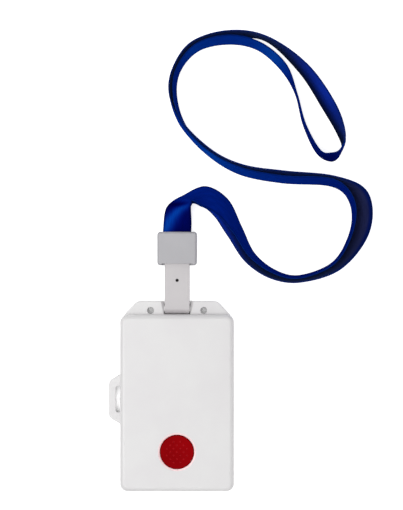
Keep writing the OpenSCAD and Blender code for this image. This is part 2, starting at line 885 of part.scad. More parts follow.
module lanyard_ribbon() {
  last = len(stops) - 1;
  points = [for (t = stops) each ring(t)];
  sides = [for (k = [0 : last - 1], s = [0 : 3])
    let (a = 4 * k + s, b = 4 * k + (s + 1) % 4)
    each [[a, b, b + 4], [a, b + 4, a + 4]]];
  end = 4 * last;
  caps = [[2, 1, 0], [3, 2, 0], [end, end + 1, end + 2], [end, end + 2, end + 3]];
  color("navy")
    translate([0, sleeve_top - route_y, 0])
      polyhedron(points, concat(sides, caps));
}

front_shell();
rear_shell();
case_seal();
case_screws();
screw_inserts();
button_cap();
button_boot();
boot_carrier();
switch_body();
switch_plunger();
circuit_board();
radio_module();
shield_can();
chip_antenna();
board_chips();
cell_holder();
coin_cell();
cell_strap();
cell_pad();
hook();
sleeve_front();
sleeve_back();
ribbon_clamp();
lanyard_ribbon();
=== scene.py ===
import bpy
import math
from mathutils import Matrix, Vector


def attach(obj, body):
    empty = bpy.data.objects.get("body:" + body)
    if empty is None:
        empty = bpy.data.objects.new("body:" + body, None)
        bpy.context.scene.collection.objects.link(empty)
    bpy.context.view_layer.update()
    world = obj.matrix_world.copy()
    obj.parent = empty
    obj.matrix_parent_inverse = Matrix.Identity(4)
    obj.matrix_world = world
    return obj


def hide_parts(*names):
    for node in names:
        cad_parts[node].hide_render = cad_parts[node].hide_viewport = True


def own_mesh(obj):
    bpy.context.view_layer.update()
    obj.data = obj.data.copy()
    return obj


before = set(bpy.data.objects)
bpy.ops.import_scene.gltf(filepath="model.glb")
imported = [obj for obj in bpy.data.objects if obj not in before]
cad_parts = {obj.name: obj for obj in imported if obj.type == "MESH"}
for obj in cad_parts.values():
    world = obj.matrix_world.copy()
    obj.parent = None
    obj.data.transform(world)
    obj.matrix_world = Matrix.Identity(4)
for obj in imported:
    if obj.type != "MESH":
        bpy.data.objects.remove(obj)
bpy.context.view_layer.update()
mm = 0.001  # the pieces below are written in millimetres
print("frame loaded, nodes:", len(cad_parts))

# camera: straight down, as the photograph is taken
camera = {"x": 12.9, "y": 78.0, "height": 800.0, "focalPixels": 1500.2, "longSide": 510, "sensor": 36.0,
          "nearest": 10.0}
bpy.ops.object.select_all(action="DESELECT")
bpy.ops.object.camera_add(location=(camera["x"] * mm, camera["y"] * mm, camera["height"] * mm))
cameraObject = bpy.context.active_object
cameraObject.data.sensor_width = camera["sensor"]
cameraObject.data.lens = camera["sensor"] * camera["focalPixels"] / camera["longSide"]
cameraObject.data.clip_start = camera["nearest"] * mm
bpy.context.scene.camera = cameraObject
print("camera set, lens", round(cameraObject.data.lens, 1))


# modelling helpers

def only(obj):
    bpy.ops.object.select_all(action="DESELECT")
    obj.select_set(True)
    bpy.context.view_layer.objects.active = obj


def settle(obj):  # puts place, turn and scale into the mesh
    only(obj)
    bpy.ops.object.transform_apply(location=True, rotation=True, scale=True)


def addBlock(low, high):
    bpy.ops.object.select_all(action="DESELECT")
    bpy.ops.mesh.primitive_cube_add(size=1, location=[(a + b) / 2 * mm for a, b in zip(low, high)])
    obj = bpy.context.active_object
    obj.scale = [(b - a) * mm for a, b in zip(low, high)]
    settle(obj)
    return obj


def addRod(centre, radius, length, sides=64, turn=(0, 0, 0), endRadius=None):
    bpy.ops.object.select_all(action="DESELECT")
    end = radius if endRadius is None else endRadius
    bpy.ops.mesh.primitive_cone_add(vertices=sides, radius1=radius * mm, radius2=end * mm, depth=length * mm,
                                    location=[c * mm for c in centre], rotation=turn)
    obj = bpy.context.active_object
    settle(obj)
    return obj


def pick(obj, kind, test):  # goes to edit mode with what passes the test selected
    only(obj)
    bpy.ops.object.mode_set(mode="EDIT")
    bpy.ops.mesh.select_mode(type=kind)
    bpy.ops.mesh.select_all(action="DESELECT")
    bpy.ops.object.mode_set(mode="OBJECT")
    places = [v.co / mm for v in obj.data.vertices]
    parts = {"VERT": obj.data.vertices, "EDGE": obj.data.edges, "FACE": obj.data.polygons}[kind]
    for part in parts:
        ends = [part.index] if kind == "VERT" else part.vertices
        part.select = test([places[i] for i in ends])
    bpy.ops.object.mode_set(mode="EDIT")


def done():
    bpy.ops.object.mode_set(mode="OBJECT")


def near(a, b, room=0.02):
    return abs(a - b) < room


def upright(ends):  # an edge that runs along Z
    return near(ends[0].x, ends[1].x) and near(ends[0].y, ends[1].y)


def level(ends, z):  # all of it lies at one height
    return all(near(p.z, z) for p in ends)


def extrudeBy(x, y, z):
    bpy.ops.mesh.extrude_region_move(TRANSFORM_OT_translate={"value": (x * mm, y * mm, z * mm)})


def roundEdges(obj, test, radius, steps):
    pick(obj, "EDGE", test)
    bpy.ops.mesh.bevel(offset=radius * mm, offset_type="OFFSET", segments=steps, affect="EDGES",
                       clamp_overlap=False)
    done()


def moveCorners(obj, test, factor, about):  # scales the picked corners, to taper a block
    pick(obj, "VERT", test)
    bpy.ops.transform.resize(value=factor, center_override=[c * mm for c in about])
    done()


def useModifier(obj, kind, **settings):
    only(obj)
    modifier = obj.modifiers.new("step", kind)
    for key, value in settings.items():
        setattr(modifier, key, value)
    bpy.ops.object.modifier_apply(modifier=modifier.name)


def hollowTray(obj, openZ, wall):  # takes one face off and gives the others a wall, inwards
    pick(obj, "FACE", lambda ends: level(ends, openZ))
    bpy.ops.mesh.delete(type="FACE")
    done()
    useModifier(obj, "SOLIDIFY", thickness=wall * mm, offset=-1.0, use_even_offset=True)


def cutWith(obj, tool, how="DIFFERENCE"):
    useModifier(obj, "BOOLEAN", object=tool, operation=how, solver="MANIFOLD")
    bpy.data.objects.remove(tool, do_unlink=True)


def joinTo(obj, others):
    only(obj)
    for other in others:
        other.select_set(True)
    bpy.ops.object.join()


def smoothByAngle(obj, degrees=35):
    only(obj)
    bpy.ops.object.shade_smooth_by_angle(angle=math.radians(degrees))


def shadePiece(obj):
    smoothByAngle(obj)
    useModifier(obj, "WEIGHTED_NORMAL", keep_sharp=True)  # large faces stay flat beside small roundings


def dressIn(obj, material):  # the slots are cleared first, because a boolean leaves an empty one
    obj.data.materials.clear()
    obj.data.materials.append(material)


def paintFaces(obj, material, test):  # a second finish on the faces that pass the test
    obj.data.materials.append(material)
    for face in obj.data.polygons:
        if test(face.center / mm, face.normal):
            face.material_index = len(obj.data.materials) - 1


def finishPiece(obj, name, body, nodes, material=None):
    obj.name = name
    obj.data.name = name
    if material:
        dressIn(obj, material)
    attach(obj, body)
    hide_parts(*nodes)
    print(name, "made,", len(obj.data.polygons), "faces")


# material helpers

def fromHex(text):  # sRGB hex to linear
    parts = [int(text[i:i + 2], 16) / 255 for i in (0, 2, 4)]
    return [c / 12.92 if c <= 0.04045 else ((c + 0.055) / 1.055) ** 2.4 for c in parts] + [1.0]


def addNode(tree, kind, settings=None, links=None):
    node = tree.nodes.new(kind)
    for key, value in (settings or {}).items():
        if key == "stops":
            ramp = node.color_ramp
            while len(ramp.elements) < len(value):
                ramp.elements.new(0.5)
            for element, (place, colour) in zip(ramp.elements, value):
                element.position = place
                element.color = colour
        elif isinstance(key, int) or key in node.inputs:
            node.inputs[key].default_value = value
        else:
            setattr(node, key, value)
    for key, source in (links or {}).items():
        tree.links.new(source, node.inputs[key])
    return node


def seenRays(tree):  # 1 for rays that show the background: straight, in a gloss or through glass
    rays = addNode(tree, "ShaderNodeLightPath")
    direct = addNode(tree, "ShaderNodeMath", {"operation": "MAXIMUM"},
                     {0: rays.outputs["Is Camera Ray"], 1: rays.outputs["Is Glossy Ray"]})
    seen = addNode(tree, "ShaderNodeMath", {"operation": "MAXIMUM"},
                   {0: direct.outputs["Value"], 1: rays.outputs["Is Transmission Ray"]})
    return seen.outputs["Value"]


def startMaterial(name, settings):
    material = bpy.data.materials.new(name)
    material.use_nodes = True
    tree = material.node_tree
    shader = tree.nodes["Principled BSDF"]
    for key, value in settings.items():
        shader.inputs[key].default_value = value
    return material, tree, shader


# moulded plastic: an even colour that wanders a little where the melt flowed, a spark-eroded grain
# and a soft gloss; the grain is drawn coarser than the real 0.1 mm, so that it shows
moulding = {"ior": 1.53, "specular": 0.5, "flowMm": 18.0, "flowLow": 0.35, "flowHigh": 0.65,
            "glossSpread": 0.05, "grainStrength": 0.35, "redSpecular": 0.004}


def mouldedPlastic(name, light, dark, roughness, grainMm, grainDepthMm, specular=moulding["specular"]):
    material, tree, shader = startMaterial(name, {"IOR": moulding["ior"], "Specular IOR Level": specular})
    coords = addNode(tree, "ShaderNodeTexCoord")
    flow = addNode(tree, "ShaderNodeTexNoise", {"Scale": 1 / (moulding["flowMm"] * mm), "Detail": 3.0},
                   {"Vector": coords.outputs["Object"]})
    stops = [(moulding["flowLow"], fromHex(dark)), (moulding["flowHigh"], fromHex(light))]
    tone = addNode(tree, "ShaderNodeValToRGB", {"stops": stops}, {"Fac": flow.outputs["Fac"]})
    tree.links.new(tone.outputs["Color"], shader.inputs["Base Color"])
    grain = addNode(tree, "ShaderNodeTexNoise", {"Scale": 1 / (grainMm * mm), "Detail": 2.0},
                    {"Vector": coords.outputs["Object"]})
    spread = moulding["glossSpread"]
    gloss = addNode(tree, "ShaderNodeMapRange", {"To Min": roughness - spread, "To Max": roughness + spread},
                    {"Value": grain.outputs["Fac"]})
    tree.links.new(gloss.outputs["Result"], shader.inputs["Roughness"])
    bump = addNode(tree, "ShaderNodeBump",
                   {"Strength": moulding["grainStrength"], "Distance": grainDepthMm * mm},
                   {"Height": grain.outputs["Fac"]})
    tree.links.new(bump.outputs["Normal"], shader.inputs["Normal"])
    return material


# case: off-white, smooth enough for a faint shine along its rounded edges
casePlastic = mouldedPlastic("white moulded ABS", "E2E1E1", "DFDDDE", 0.38, 0.5, 0.01)
# the rim of the button's hole is smoother; its colour is a painted highlight, lighter than the case, with a
# painted reflection of the button's red
rimHighlightPlastic = mouldedPlastic("white ABS, painted highlight and red reflection", "FFDEDF", "FDDADB", 0.3, 0.5, 0.01)
# hook: a warmer and darker white than the case; its small hole is painted nearly black, as painted shade
hookPlastic = mouldedPlastic("pale moulded acetal", "CAC6C7", "C4C0C2", 0.40, 0.5, 0.02)
boreShadePlastic = mouldedPlastic("pale moulded acetal, painted bore shade", "4A4748", "403D3E", 0.6, 0.3, 0.02)
# sleeve: cool grey and the dullest of the outer pieces
sleevePlastic = mouldedPlastic("grey moulded ABS", "B0AFB3", "ABAAAE", 0.45, 0.6, 0.03)
# button: deep red with hardly a reflection, a painted highlight on its dots and painted shade round its edge
buttonPlastic = mouldedPlastic("red moulded ABS", "9C040B", "8C0309", 0.34, 0.4, 0.02,
                               moulding["redSpecular"])
dotHighlightPlastic = mouldedPlastic("red moulded ABS, painted highlight", "AA151D", "A21118", 0.30, 0.4, 0.02,
                            moulding["redSpecular"])
rimPlastic = mouldedPlastic("red moulded ABS, in shade", "720208", "6A0207", 0.34, 0.4, 0.02,
                            moulding["redSpecular"])
# inner pieces: black nylon with a dull gloss, matt rubber, and cream ceramic like unglazed china
blackPlastic = mouldedPlastic("black moulded nylon", "1F2022", "17181A", 0.5, 0.3, 0.02)
siliconeRubber = mouldedPlastic("grey silicone rubber", "7A7A7C", "727274", 0.65, 0.3, 0.02)
ceramicBody = mouldedPlastic("fired ceramic", "DDD8C8", "D2CCBA", 0.55, 0.25, 0.02)
print("plastics made")

# metals: plated or turned, with fine lines that the tool drew along one way
metalLines = {"wideMm": 0.2, "longMm": 5.0, "smoother": 0.06, "rougher": 0.08}


def workedMetal(name, light, dark, roughness):
    material, tree, shader = startMaterial(name, {"Metallic": 1.0})
    coords = addNode(tree, "ShaderNodeTexCoord")
    wide = 1 / (metalLines["wideMm"] * mm)
    stretch = addNode(tree, "ShaderNodeMapping", {"Scale": (wide, 1 / (metalLines["longMm"] * mm), wide)},
                      {"Vector": coords.outputs["Object"]})
    lines = addNode(tree, "ShaderNodeTexNoise", {"Scale": 1.0, "Detail": 2.0},
                    {"Vector": stretch.outputs["Vector"]})
    tone = addNode(tree, "ShaderNodeValToRGB", {"stops": [(0.3, fromHex(dark)), (0.7, fromHex(light))]},
                   {"Fac": lines.outputs["Fac"]})
    tree.links.new(tone.outputs["Color"], shader.inputs["Base Color"])
    gloss = addNode(tree, "ShaderNodeMapRange", {"To Min": roughness - metalLines["smoother"],
                                                 "To Max": roughness + metalLines["rougher"]},
                    {"Value": lines.outputs["Fac"]})
    tree.links.new(gloss.outputs["Result"], shader.inputs["Roughness"])
    return material


platedSteel = workedMetal("plated steel", "C9CBCE", "B9BBBF", 0.28)
turnedBrass = workedMetal("turned brass", "D8BE7E", "C6A963", 0.3)

# circuit board: glass cloth under green lacquer, whose thread squares show through
board = {"clothMm": 0.8, "light": "235F3D", "dark": "1D5A38"}
boardLaminate, boardTree, boardShader = startMaterial("green board laminate", {"Roughness": 0.3, "IOR": 1.5})
boardCoords = addNode(boardTree, "ShaderNodeTexCoord")
boardCloth = addNode(boardTree, "ShaderNodeTexChecker",
                     {"Scale": 1 / (board["clothMm"] * mm), "Color1": fromHex(board["dark"]),
                      "Color2": fromHex(board["light"])},
                     {"Vector": boardCoords.outputs["Object"]})
boardTree.links.new(boardCloth.outputs["Color"], boardShader.inputs["Base Color"])
print("metals and board made")

# ribbon: single-face polyester satin, bright floats of filament along its length and a firmer border
# on both sides; the threads are drawn 0.9 mm apart, three times the real spacing, so that they show
ribbon = {"width": 15.0, "thick": 0.5, "length": 856.0, "stepsAlong": 9, "stepsAcross": 8, "smooth": 40}
satin = {"threadMm": 0.9, "floatMm": 7.0, "borderMm": 1.1, "ribMm": 9.0, "reliefMm": 0.05,
         "glossSpread": 0.15, "light": "04339E", "dark": "022886", "border": "022072", "gloss": 0.5,
         "backLight": "061E74", "backDark": "041660", "backBorder": "03124C", "backGloss": 0.75,
         "sheen": "5A78C8", "sideLight": "032678", "sideDark": "021C60"}


def wovenSatin(name, light, dark, border, gloss, paintedLightName, settings):
    material, tree, shader = startMaterial(name, settings)
    weave = addNode(tree, "ShaderNodeUVMap", {"uv_map": "weave"})  # millimetres across and along
    axes = addNode(tree, "ShaderNodeSeparateXYZ", links={"Vector": weave.outputs["UV"]})
    threads = addNode(tree, "ShaderNodeMapping", {"Scale": (1 / satin["threadMm"], 1 / satin["floatMm"], 1)},
                      {"Vector": weave.outputs["UV"]})
    floats = addNode(tree, "ShaderNodeTexNoise", {"Scale": 1.0, "Detail": 3.0, "Roughness": 0.6},
                     {"Vector": threads.outputs["Vector"]})
    tone = addNode(tree, "ShaderNodeValToRGB", {"stops": [(0.3, fromHex(dark)), (0.7, fromHex(light))]},
                   {"Fac": floats.outputs["Fac"]})
    fromSide = addNode(tree, "ShaderNodeMath", {"operation": "PINGPONG", 1: ribbon["width"] / 2},
                       {0: axes.outputs["X"]})
    inner = addNode(tree, "ShaderNodeMapRange",
                    {"From Min": 0.5 * satin["borderMm"], "From Max": satin["borderMm"]},
                    {"Value": fromSide.outputs["Value"]})
    colour = addNode(tree, "ShaderNodeMix", {"data_type": "RGBA", 6: fromHex(border)},
                     {0: inner.outputs["Result"], 7: tone.outputs["Color"]})
    # painted light and shade: the colour is scaled by a share given for each point of the ribbon
    paintedShare = addNode(tree, "ShaderNodeAttribute", {"attribute_name": paintedLightName})
    lustred = addNode(tree, "ShaderNodeVectorMath", {"operation": "MULTIPLY"},
                      {0: colour.outputs[2], 1: paintedShare.outputs["Vector"]})
    tree.links.new(lustred.outputs["Vector"], shader.inputs["Base Color"])
    shine = addNode(tree, "ShaderNodeMapRange", {"To Min": gloss, "To Max": gloss + satin["glossSpread"]},
                    {"Value": floats.outputs["Fac"]})
    tree.links.new(shine.outputs["Result"], shader.inputs["Roughness"])
    ribs = addNode(tree, "ShaderNodeTexWave",
                   {"wave_type": "BANDS", "bands_direction": "Y", "Scale": math.pi / satin["ribMm"],
                    "Distortion": 0.6, "Detail": 1.0},
                   {"Vector": weave.outputs["UV"]})
    wave = addNode(tree, "ShaderNodeBump", {"Strength": 0.25, "Distance": satin["reliefMm"] * mm},
                   {"Height": ribs.outputs["Fac"]})
    fine = addNode(tree, "ShaderNodeBump", {"Strength": 0.3, "Distance": satin["reliefMm"] * mm},
                   {"Height": floats.outputs["Fac"], "Normal": wave.outputs["Normal"]})
    tree.links.new(fine.outputs["Normal"], shader.inputs["Normal"])
    return material


satinFace = wovenSatin("blue polyester satin", satin["light"], satin["dark"], satin["border"], satin["gloss"],
                       "lustreFace", {"Specular IOR Level": 0.0})
# the back of the satin shows the dull weft, so it is darker and greyer, with a little sheen
satinBack = wovenSatin("blue polyester satin back", satin["backLight"], satin["backDark"],
                       satin["backBorder"], satin["backGloss"], "lustreBack",
                       {"Specular IOR Level": 0.0, "Sheen Weight": 0.3, "Sheen Roughness": 0.4,
                        "Sheen Tint": fromHex(satin["sheen"])})
# selvedge: tight threads seen from the side, a shade darker than the face and without gloss
satinSide, sideTree, sideShader = startMaterial("blue polyester selvedge",
                                                {"Roughness": 0.8, "Specular IOR Level": 0.0})
sideCoords = addNode(sideTree, "ShaderNodeTexCoord")
sideThreads = addNode(sideTree, "ShaderNodeTexNoise", {"Scale": 1 / (satin["threadMm"] * mm), "Detail": 1.0},
                      {"Vector": sideCoords.outputs["Object"]})
sideStops = [(0.3, fromHex(satin["sideDark"])), (0.7, fromHex(satin["sideLight"]))]
sideTone = addNode(sideTree, "ShaderNodeValToRGB", {"stops": sideStops}, {"Fac": sideThreads.outputs["Fac"]})
sideTree.links.new(sideTone.outputs["Color"], sideShader.inputs["Base Color"])
print("satin made")

# the ribbon is one flat strip on the route of its solid; a row is the lower edge's x and y, the upper
# edge's x and y, and the lower edge's height
ribbonRoute = [
    [-7.5, 85.3, 7.5, 85.3, 5], [-7.5, 91, 7.5, 91, 5], [-6.3, 101.5, 7.3, 101.5, 3.8],
    [-3, 106, 7.7, 105.2, 3.6], [2.5, 109.2, 8.8, 106.3, 3.3], [15, 114.5, 16, 102.5, 2.6],
    [27, 107.5, 23.2, 97.7, 1.9], [34.4, 92.7, 29.6, 89.8, 0.8], [41.3, 78.7, 38.5, 76.7, 0.4],
    [52.7, 69.7, 51.2, 68.2, 0.4], [65.6, 67.2, 64.9, 66, 0.4], [83.3, 74.6, 82.8, 73.8, 0.4],
    [92.3, 91.5, 92.2, 90.9, 0.4], [91.7, 106.3, 92.7, 106.8, 0.4], [82, 114.6, 81.9, 117.7, 0.4],
    [55.6, 116.4, 55.4, 119.5, 0.4], [32.5, 121.2, 33.4, 123.9, 0.4], [14.7, 132.4, 15.9, 133, 0.4],
    [1.7, 147.6, 2.9, 146.8, 0.4], [-1.8, 163.4, -3.9, 161.5, 0.4], [-0.2, 176.2, -2.4, 175.4, 0.4],
    [9.5, 188, 7.4, 189.4, 0.4], [27.3, 192.7, 26.7, 195.5, 0.4], [46.6, 192.2, 47.1, 192.5, 0.4],
    [64.9, 175.4, 68.3, 178, 0.4], [77.6, 155.7, 82.8, 158, 0.4], [85.5, 142, 88.2, 141.9, 0.4],
    [87.7, 134.1, 85.7, 133.7, 0.4], [83, 128, 81, 131.5, 0.4], [74.5, 132, 75, 133, 0.4],
    [67.2, 147, 67.4, 146.6, 0.4], [62.8, 164, 62.9, 162.6, 0.4], [55, 176.8, 57, 178.1, 0.4],
    [42.8, 187.2, 43.7, 189.3, 0.4], [27.8, 190.3, 27.2, 193.1, 0.4], [11.6, 186.9, 9.8, 188.4, 0.4],
    [1.7, 176.1, -0.4, 175.3, 0.4], [-0.3, 162.7, -1.7, 160.9, 0.4], [4.6, 146.9, 3.5, 147.1, 0.4],
    [17.3, 131.8, 18.7, 132.7, 0.4], [33.8, 122.2, 34.9, 125.2, 0.4], [56, 117.7, 55.9, 122.1, 0.4],
    [82.9, 116, 82.8, 119.3, 0.4], [93.2, 107.7, 100.2, 110.7, 0.4], [94.1, 92.4, 101, 90.3, 0.4],
    [84.6, 74.1, 86.3, 71, 0.4], [65.8, 66, 65.3, 63.8, 0.4], [51.3, 68.2, 49.4, 65.7, 0.4],
    [39.9, 77.2, 36.1, 74.3, 0.4], [32.2, 91.4, 26.7, 88, 0.4], [25, 106, 20.5, 97.4, 0.4],
    [14.5, 114.2, 14.5, 102.9, 0.4], [2.6, 108.4, 9.5, 105.1, 0.4], [-3.1, 105.4, 7.7, 104.4, 1.3],
    [-6.4, 101, 7.1, 100.8, 2.2], [-7.5, 91, 7.5, 91, 3.6], [-7.5, 85.3, 7.5, 85.3, 3.6]
]

# where the ribbon stands upright it cups a little to one side: millimetres at its middle, at some rows
cupped = [(0, 0.0), (16.8, 0.0), (18, 0.9), (18.6, 0.9), (19.8, 0.0), (25.4, 0.0), (26.4, 1.4), (27.6, 0.0),
          (36, 0.0), (37.2, -0.9), (38, -0.9), (39.2, 0.0)]

# painted light and shade on the satin, standing in for its sheen, which changes as its floats turn, and for
# the
# shade where one run stands over another: face and back give a share of the colour at some rows; band is a
# painted bright band that slants where the ribbon leaves the sleeve, in millimetres from the lower edge;
# shade is painted shade on the lower side; grey is a stretch where the back is painted a greyer sheen, with
# the share of each colour channel there
paintedLight = {
    "face": [(0, 1.0), (2.2, 1.0), (2.7, 0.6), (3.2, 0.7), (4, 0.75), (8, 0.75), (10, 0.6), (12, 0.65),
             (14, 0.8), (16, 1.1), (16.9, 1.45), (17.8, 1.0), (26, 0.8), (28, 0.5), (29.5, 0.7),
             (31.3, 0.65), (32.4, 1.45), (33.3, 1.1), (34.3, 1.05), (35.2, 1.25), (36, 0.9), (38, 0.75),
             (56, 1.0)],
    "greenPower": 2.2,
    "back": [(0, 1.0), (19, 1.0), (22, 0.9), (23.4, 0.9), (24.1, 2.6), (24.7, 3.0), (25.4, 1.8),
             (26.5, 0.8), (27, 1.0), (40, 1.0), (43, 0.85), (45, 0.8), (47, 0.6), (48, 1.5), (49, 4.0),
             (50.5, 4.0), (52, 1.0)],
    "band": [(0, 0.0), (1, 0.5), (1.28, 2.2), (1.6, 4.0), (1.95, 7.5), (2.47, 11.5), (3, 15.0)],
    "bandHalf": 3.6, "bandLow": 0.3, "bandHigh": 1.3, "bandEnd": 2.7, "bandFade": 0.8,
    "shade": [(0, 1.0), (21.8, 1.0), (23.2, 0.1), (26.3, 0.1), (27, 1.0)], "shadeFrom": 3.0, "shadeTo": 9.5,
    "grey": [(0, 0.0), (41.6, 0.0), (42.8, 1.0), (44.6, 1.0), (46.2, 0.0)],
    "greyShare": (20.0, 3.6, 0.95), "greyFrom": 12.8, "greyFade": 2.0,
}


def ribbonRow(row):  # lower edge and the way across, at a row of the route
    run = Vector((row[2] - row[0], row[3] - row[1], 0))
    rise = math.sqrt(max(ribbon["width"] ** 2 - run.length_squared, 0))
    return Vector((row[0], row[1], row[4])), Vector((run.x, run.y, rise)).normalized()


def throughPoints(a, b, c, d, u):  # smooth curve from b to c
    return (2 * b + (c - a) * u + (2 * a - 5 * b + 4 * c - d) * u * u + (3 * b - 3 * c + d - a) * u ** 3) / 2


def valueAt(stops, place):  # straight between the stops, and level after the last
    for (a, low), (b, high) in zip(stops, stops[1:]):
        if place <= b:
            return low + (high - low) * (place - a) / (b - a)
    return stops[-1][1]


def zeroToOne(value):
    return min(max(value, 0.0), 1.0)


# painted highlight band where the ribbon leaves the sleeve, and painted light and shade along the face
def facePaintedLight(place, side):
    off = (side - valueAt(paintedLight["band"], place)) / paintedLight["bandHalf"]
    share = paintedLight["bandLow"] + (paintedLight["bandHigh"] - paintedLight["bandLow"]) * math.exp(-off * off)
    fade = zeroToOne((place - paintedLight["bandEnd"]) / paintedLight["bandFade"])
    share = valueAt(paintedLight["face"], place) * (share + (1.0 - share) * fade)
    return [share, share ** paintedLight["greenPower"], share]  # dark satin is a purer blue: its green falls faster


# painted shade on the lower side of the back, and a painted grey sheen at the bend
def backPaintedLight(place, side):
    dim = valueAt(paintedLight["shade"], place)
    dim += (1.0 - dim) * zeroToOne((side - paintedLight["shadeFrom"]) / (paintedLight["shadeTo"] - paintedLight["shadeFrom"]))
    grey = valueAt(paintedLight["grey"], place) * zeroToOne((paintedLight["greyFrom"] - side) / paintedLight["greyFade"])
    share = valueAt(paintedLight["back"], place) * dim
    return [share * (1.0 + (channel - 1.0) * grey) for channel in paintedLight["greyShare"]]


ribbonRows = [ribbonRow(row) for row in ribbonRoute]
ribbonRings = []
lastRow = len(ribbonRows) - 1
for i in range(lastRow):
    for k in range(ribbon["stepsAlong"]):
        u = k / ribbon["stepsAlong"]
        if i in (0, lastRow - 1):  # flat inside the sleeve
            lower, across = (p.lerp(q, u) for p, q in zip(ribbonRows[i], ribbonRows[i + 1]))
        else:
            four = [ribbonRows[j] for j in (i - 1, i, i + 1, i + 2)]
            lower, across = (throughPoints(*[row[part] for row in four], u) for part in (0, 1))
        ribbonRings.append((lower, across.normalized()))
ribbonRings.append(ribbonRows[-1])

ribbonPoints = []
ribbonUv = []
ribbonPaintedLight = {"lustreFace": [], "lustreBack": []}
walked = 0.0
middle = None
for n, (lower, across) in enumerate(ribbonRings):
    before = middle
    middle = lower + across * (ribbon["width"] / 2)
    if before is not None:
        walked += (middle - before).length
    ahead = ribbonRings[min(n + 1, len(ribbonRings) - 1)][0] - ribbonRings[max(n - 1, 0)][0]
    outward = across.cross(ahead).normalized()
    place = n / ribbon["stepsAlong"]
    for k in range(ribbon["stepsAcross"] + 1):
        side = k / ribbon["stepsAcross"] * ribbon["width"]
        cup = valueAt(cupped, place) * math.sin(math.pi * k / ribbon["stepsAcross"])
        ribbonPoints.append((lower + across * side + outward * cup) * mm)
        ribbonUv.append((side, walked))
        ribbonPaintedLight["lustreFace"] += facePaintedLight(place, side)
        ribbonPaintedLight["lustreBack"] += backPaintedLight(place, side)
ribbonFaces = []
ringSize = ribbon["stepsAcross"] + 1
for n in range(len(ribbonRings) - 1):
    for k in range(ribbon["stepsAcross"]):
        a = n * ringSize + k
        ribbonFaces.append((a, a + 1, a + ringSize + 1, a + ringSize))
ribbonMesh = bpy.data.meshes.new("neckRibbon")
ribbonMesh.from_pydata([tuple(p) for p in ribbonPoints], [], ribbonFaces)
ribbonWeave = ribbonMesh.uv_layers.new(name="weave")
for loop in ribbonMesh.loops:
    ribbonWeave.data[loop.index].uv = ribbonUv[loop.vertex_index]
for name, values in ribbonPaintedLight.items():
    attribute = ribbonMesh.attributes.new(name=name, type="FLOAT_VECTOR", domain="POINT")
    attribute.data.foreach_set("vector", values)
ribbonObject = bpy.data.objects.new("neckRibbon", ribbonMesh)
bpy.context.scene.collection.objects.link(ribbonObject)
for material in (satinFace, satinBack, satinSide):
    ribbonMesh.materials.append(material)
useModifier(ribbonObject, "SOLIDIFY", thickness=ribbon["thick"] * mm, offset=0.0, material_offset=1,
            material_offset_rim=2)
smoothByAngle(ribbonObject, ribbon["smooth"])
finishPiece(ribbonObject, "neckRibbon", "lanyard", ["lanyard_ribbon"])
print("ribbon length along its middle, mm:", round(walked, 1))

# cutters that go right through reach from below the table to above the hook
cutLow = -2.0
cutHigh = 9.0

# case, front half: a tray with rounded front edges and the button's hole
front = {"halfWidth": 30.0, "halfLength": 46.5, "low": 5.0, "high": 12.0, "corner": 4.0, "edge": 2.5,
         "wall": 1.9, "seamEdge": 0.15, "seamBand": 1.2, "buttonY": -25.5, "holeRadius": 9.06,
         "rimWide": 0.95, "rimDeep": 0.25, "rimNormal": 0.99, "bossMiddle": 6.9, "bossLong": 6.6,
         "boreMiddle": 5.4, "boreRadius": 1.62, "boreLong": 5.0}
screws = {"x": 23.7, "y": 40.2, "bossRadius": 3.0}
screwPlaces = [(sx * screws["x"], sy * screws["y"]) for sx in (-1, 1) for sy in (-1, 1)]


def outerSeam(ends, z):  # the outer edge where the two halves of the case meet
    sideX = front["halfWidth"] - front["seamBand"]
    sideY = front["halfLength"] - front["seamBand"]
    return level(ends, z) and all(abs(p.x) > sideX or abs(p.y) > sideY for p in ends)


def screwBosses(half):
    bosses = []
    for x, y in screwPlaces:
        boss = addRod((x, y, half["bossMiddle"]), screws["bossRadius"], half["bossLong"], sides=40)
        cutWith(boss, addRod((x, y, half["boreMiddle"]), half["boreRadius"], half["boreLong"], sides=32))
        bosses.append(boss)
    return bosses


def onHoleRim(place, normal):
    slanted = place.z > front["high"] - front["rimDeep"] and normal.z < front["rimNormal"]
    fromMiddle = math.hypot(place.x, place.y - front["buttonY"])
    return slanted and fromMiddle < front["holeRadius"] + front["rimWide"]


frontShell = addBlock((-front["halfWidth"], -front["halfLength"], front["low"]),
                      (front["halfWidth"], front["halfLength"], front["high"]))
roundEdges(frontShell, upright, front["corner"], steps=12)
roundEdges(frontShell, lambda ends: level(ends, front["high"]), front["edge"], steps=8)
hollowTray(frontShell, front["low"], front["wall"])
holePlace = (0, front["buttonY"], front["high"])
cutWith(frontShell, addRod(holePlace, front["holeRadius"], length=8, sides=96))
cutWith(frontShell, addRod(holePlace, front["holeRadius"], length=2 * front["rimDeep"], sides=96,
                           endRadius=front["holeRadius"] + 2 * front["rimWide"]))
roundEdges(frontShell, lambda ends: outerSeam(ends, front["low"]), front["seamEdge"], steps=2)
joinTo(frontShell, screwBosses(front))
shadePiece(frontShell)
dressIn(frontShell, casePlastic)
# painted highlight and painted red reflection on the hole's slanted rim
paintFaces(frontShell, rimHighlightPlastic, onHoleRim)
finishPiece(frontShell, "frontShell", "device", ["front_shell"])

